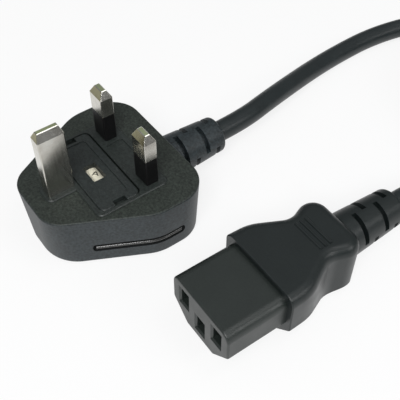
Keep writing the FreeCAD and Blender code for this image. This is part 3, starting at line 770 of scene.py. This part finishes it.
carrier_nylon = moulded_nylon("carrier_nylon", (0.018, 0.023, 0.022), roughness=0.46)
finished("fuse_carrier", "fuse_carrier_lid", carrier_nylon, arris=nylon_arris)


# Fuse: white ceramic tube with a pressed nickelled cap on each end. Only its middle
# shows, through the carrier's window, with the unit mark of its rating.

fuse_ceramic = moulded_plastic(
    "fuse_ceramic", (0.80, 0.76, 0.61), roughness=0.60, grain=0.00035, depth=0.000010,
    speckle=0.04,
)
ceramic_tube = finished("fuse_tube", "fuse_ceramic_tube", fuse_ceramic)

mark_width = 0.00205
mark_height = 0.00173
mark_stroke = 0.00036
crossbar_height = 0.00030
crossbar_stroke = 0.00028
mark_turn = math.radians(50.0)
mark_x = -0.00042
mark_y = -0.01032
mark_lift = 0.000015
mark_facet = 0.0003
mark_halvings = 4
tube_low, tube_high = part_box("fuse_tube")
tube_y = (tube_low[1] + tube_high[1]) / 2
tube_z = (tube_low[2] + tube_high[2]) / 2
tube_radius = max(
    math.hypot(v.co.y - tube_y, v.co.z - tube_z) for v in ceramic_tube.data.vertices
)


def leg_edge(height, inset):
    """Half width of the letter's legs at a height, less an inset along the line."""
    outer = (mark_width - mark_stroke) / 2 * (1 - height / mark_height) + mark_stroke / 2
    return outer - inset


bar_top = crossbar_height + crossbar_stroke
inner_apex = mark_height * (1 - mark_stroke / (mark_width - mark_stroke))
right_side = [
    (leg_edge(mark_height, 0.0), mark_height),
    (leg_edge(0.0, 0.0), 0.0),
    (leg_edge(0.0, mark_stroke), 0.0),
    (leg_edge(crossbar_height, mark_stroke), crossbar_height),
]
left_side = [(-x, y) for x, y in reversed(right_side)]
counter = [
    (leg_edge(bar_top, mark_stroke), bar_top),
    (-leg_edge(bar_top, mark_stroke), bar_top),
    (0.0, inner_apex),
]

# The letter is drawn flat, cut into small facets and laid on the round of the tube.
mark_curve = bpy.data.curves.new("fuse_unit_mark", "CURVE")
mark_curve.dimensions = "2D"
mark_curve.fill_mode = "BOTH"
for outline in (right_side + left_side, counter):
    centred = [(x, y - mark_height / 2, 0.0) for x, y in outline]
    draw_line(mark_curve, "POLY", centred).use_cyclic_u = True
mark_mesh = plain_mesh(placed("mark_source", mark_curve))
letter = bmesh.new()
letter.from_mesh(mark_mesh)
bmesh.ops.remove_doubles(letter, verts=letter.verts, dist=weld_distance)
bmesh.ops.triangulate(letter, faces=letter.faces)
for halving in range(mark_halvings):
    long_edges = [e for e in letter.edges if e.calc_length() > mark_facet]
    bmesh.ops.subdivide_edges(letter, edges=long_edges, cuts=1)
    bmesh.ops.triangulate(letter, faces=letter.faces)
bmesh.ops.rotate(letter, verts=letter.verts, matrix=Matrix.Rotation(mark_turn, 3, "Z"))
for v in letter.verts:
    v.co.x += mark_x
    v.co.y += mark_y
    v.co.z = tube_z + mark_lift + math.sqrt(tube_radius ** 2 - (v.co.y - tube_y) ** 2)
bmesh.ops.recalc_face_normals(letter, faces=letter.faces)
letter.to_mesh(mark_mesh)
letter.free()
mark_ink = moulded_plastic(
    "mark_ink", (0.045, 0.043, 0.030), roughness=0.7, grain=0.0003, depth=0.000004,
    speckle=0.20,
)
mark_mesh.materials.clear()
mark_mesh.materials.append(mark_ink)
unit_mark = placed("fuse_unit_mark", mark_mesh)
film = unit_mark.modifiers.new("ink_film", "SOLIDIFY")
film.thickness = mark_lift * 2
film.offset = 0.0
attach(unit_mark, body_of_node["fuse_tube"])


def scuffed_metal(name, colour, scuff_size, detail, shades, roughnesses):
    """Bright metal whose shade and roughness vary over its small scuffs."""
    material, tree, shader, place = surface_material(name)
    shader.inputs["Metallic"].default_value = 1.0
    scuffs = noise(tree, place, scuff_size, detail)
    shade = varied(tree, scuffs, *shades)
    feed(tree, tinted(tree, colour, shade), shader.inputs["Base Color"])
    feed(tree, varied(tree, scuffs, *roughnesses), shader.inputs["Roughness"])
    return material


cap_metal = scuffed_metal(
    "cap_metal", (0.64, 0.63, 0.60), scuff_size=0.0011, detail=5.0,
    shades=(0.90, 1.08), roughnesses=(0.18, 0.34),
)
for node in ("supply_fuse_cap", "load_fuse_cap", "fuse_wire"):
    finished(node, node + "_metal", cap_metal)


# Clips and contacts: spring brass strip, pressed and bent, left bright. They sit
# inside the bridge and inside the connector's sockets.

bright_brass = scuffed_metal(
    "bright_brass", (0.72, 0.53, 0.26), scuff_size=0.0014, detail=4.0,
    shades=(0.88, 1.10), roughnesses=(0.20, 0.38),
)
for node in ("load_fuse_clip", "supply_fuse_clip"):
    finished(node, node + "_strip", bright_brass)

contacts = [
    finished(node, node + "_strip", bright_brass)
    for node in (
        "connector_neutral_contact", "connector_earth_contact", "connector_line_contact"
    )
]


# Connector: a hard insert with three sockets, and a soft PVC grip moulded behind it
# with a waist for the fingers, three ridges and its own segmented strain relief.

grip_pvc = moulded_plastic(
    "grip_pvc", (0.009, 0.013, 0.013), roughness=0.38, grain=0.0005, depth=0.000010,
    gloss=0.45,
)
insert_nylon = moulded_plastic(
    "insert_nylon", (0.012, 0.017, 0.015), roughness=0.42, grain=0.0004, depth=0.000012,
    gloss=0.62,
)
connector_pieces = [
    coil_ties,
    finished("connector_grip", "connector_grip_moulding", grip_pvc),
    finished("connector_insert", "connector_insert_block", insert_nylon),
    *contacts,
]


# Cores: three insulated wires in each end of the lead, in the colours that mark
# live, neutral and earth, and the jacket's cut end round them. All sealed in.

core_colours = {
    "line": (0.20, 0.08, 0.03),
    "neutral": (0.04, 0.16, 0.50),
    "earth": (0.30, 0.48, 0.06),
}
for end in ("plug", "connector"):
    for name, colour in core_colours.items():
        node = f"{end}_{name}_core"
        skin = moulded_plastic(
            f"{end}_{name}_insulation", colour, roughness=0.45, grain=0.0008
        )
        piece = finished(node, node + "_wire", skin)
        if end == "connector":
            connector_pieces.append(piece)
jacket_end = moulded_plastic(
    "jacket_end", cord_colour, roughness=0.45, grain=jacket_grain, depth=jacket_depth
)
finished("plug_cord_end", "plug_cord_stub", jacket_end)
connector_pieces.append(
    finished("connector_cord_end", "connector_cord_stub", jacket_end)
)


# The lead is one cord of the usual length, laid loose on the table. The colours are
# shown as they are written.

bpy.context.scene.view_settings.view_transform = "Standard"
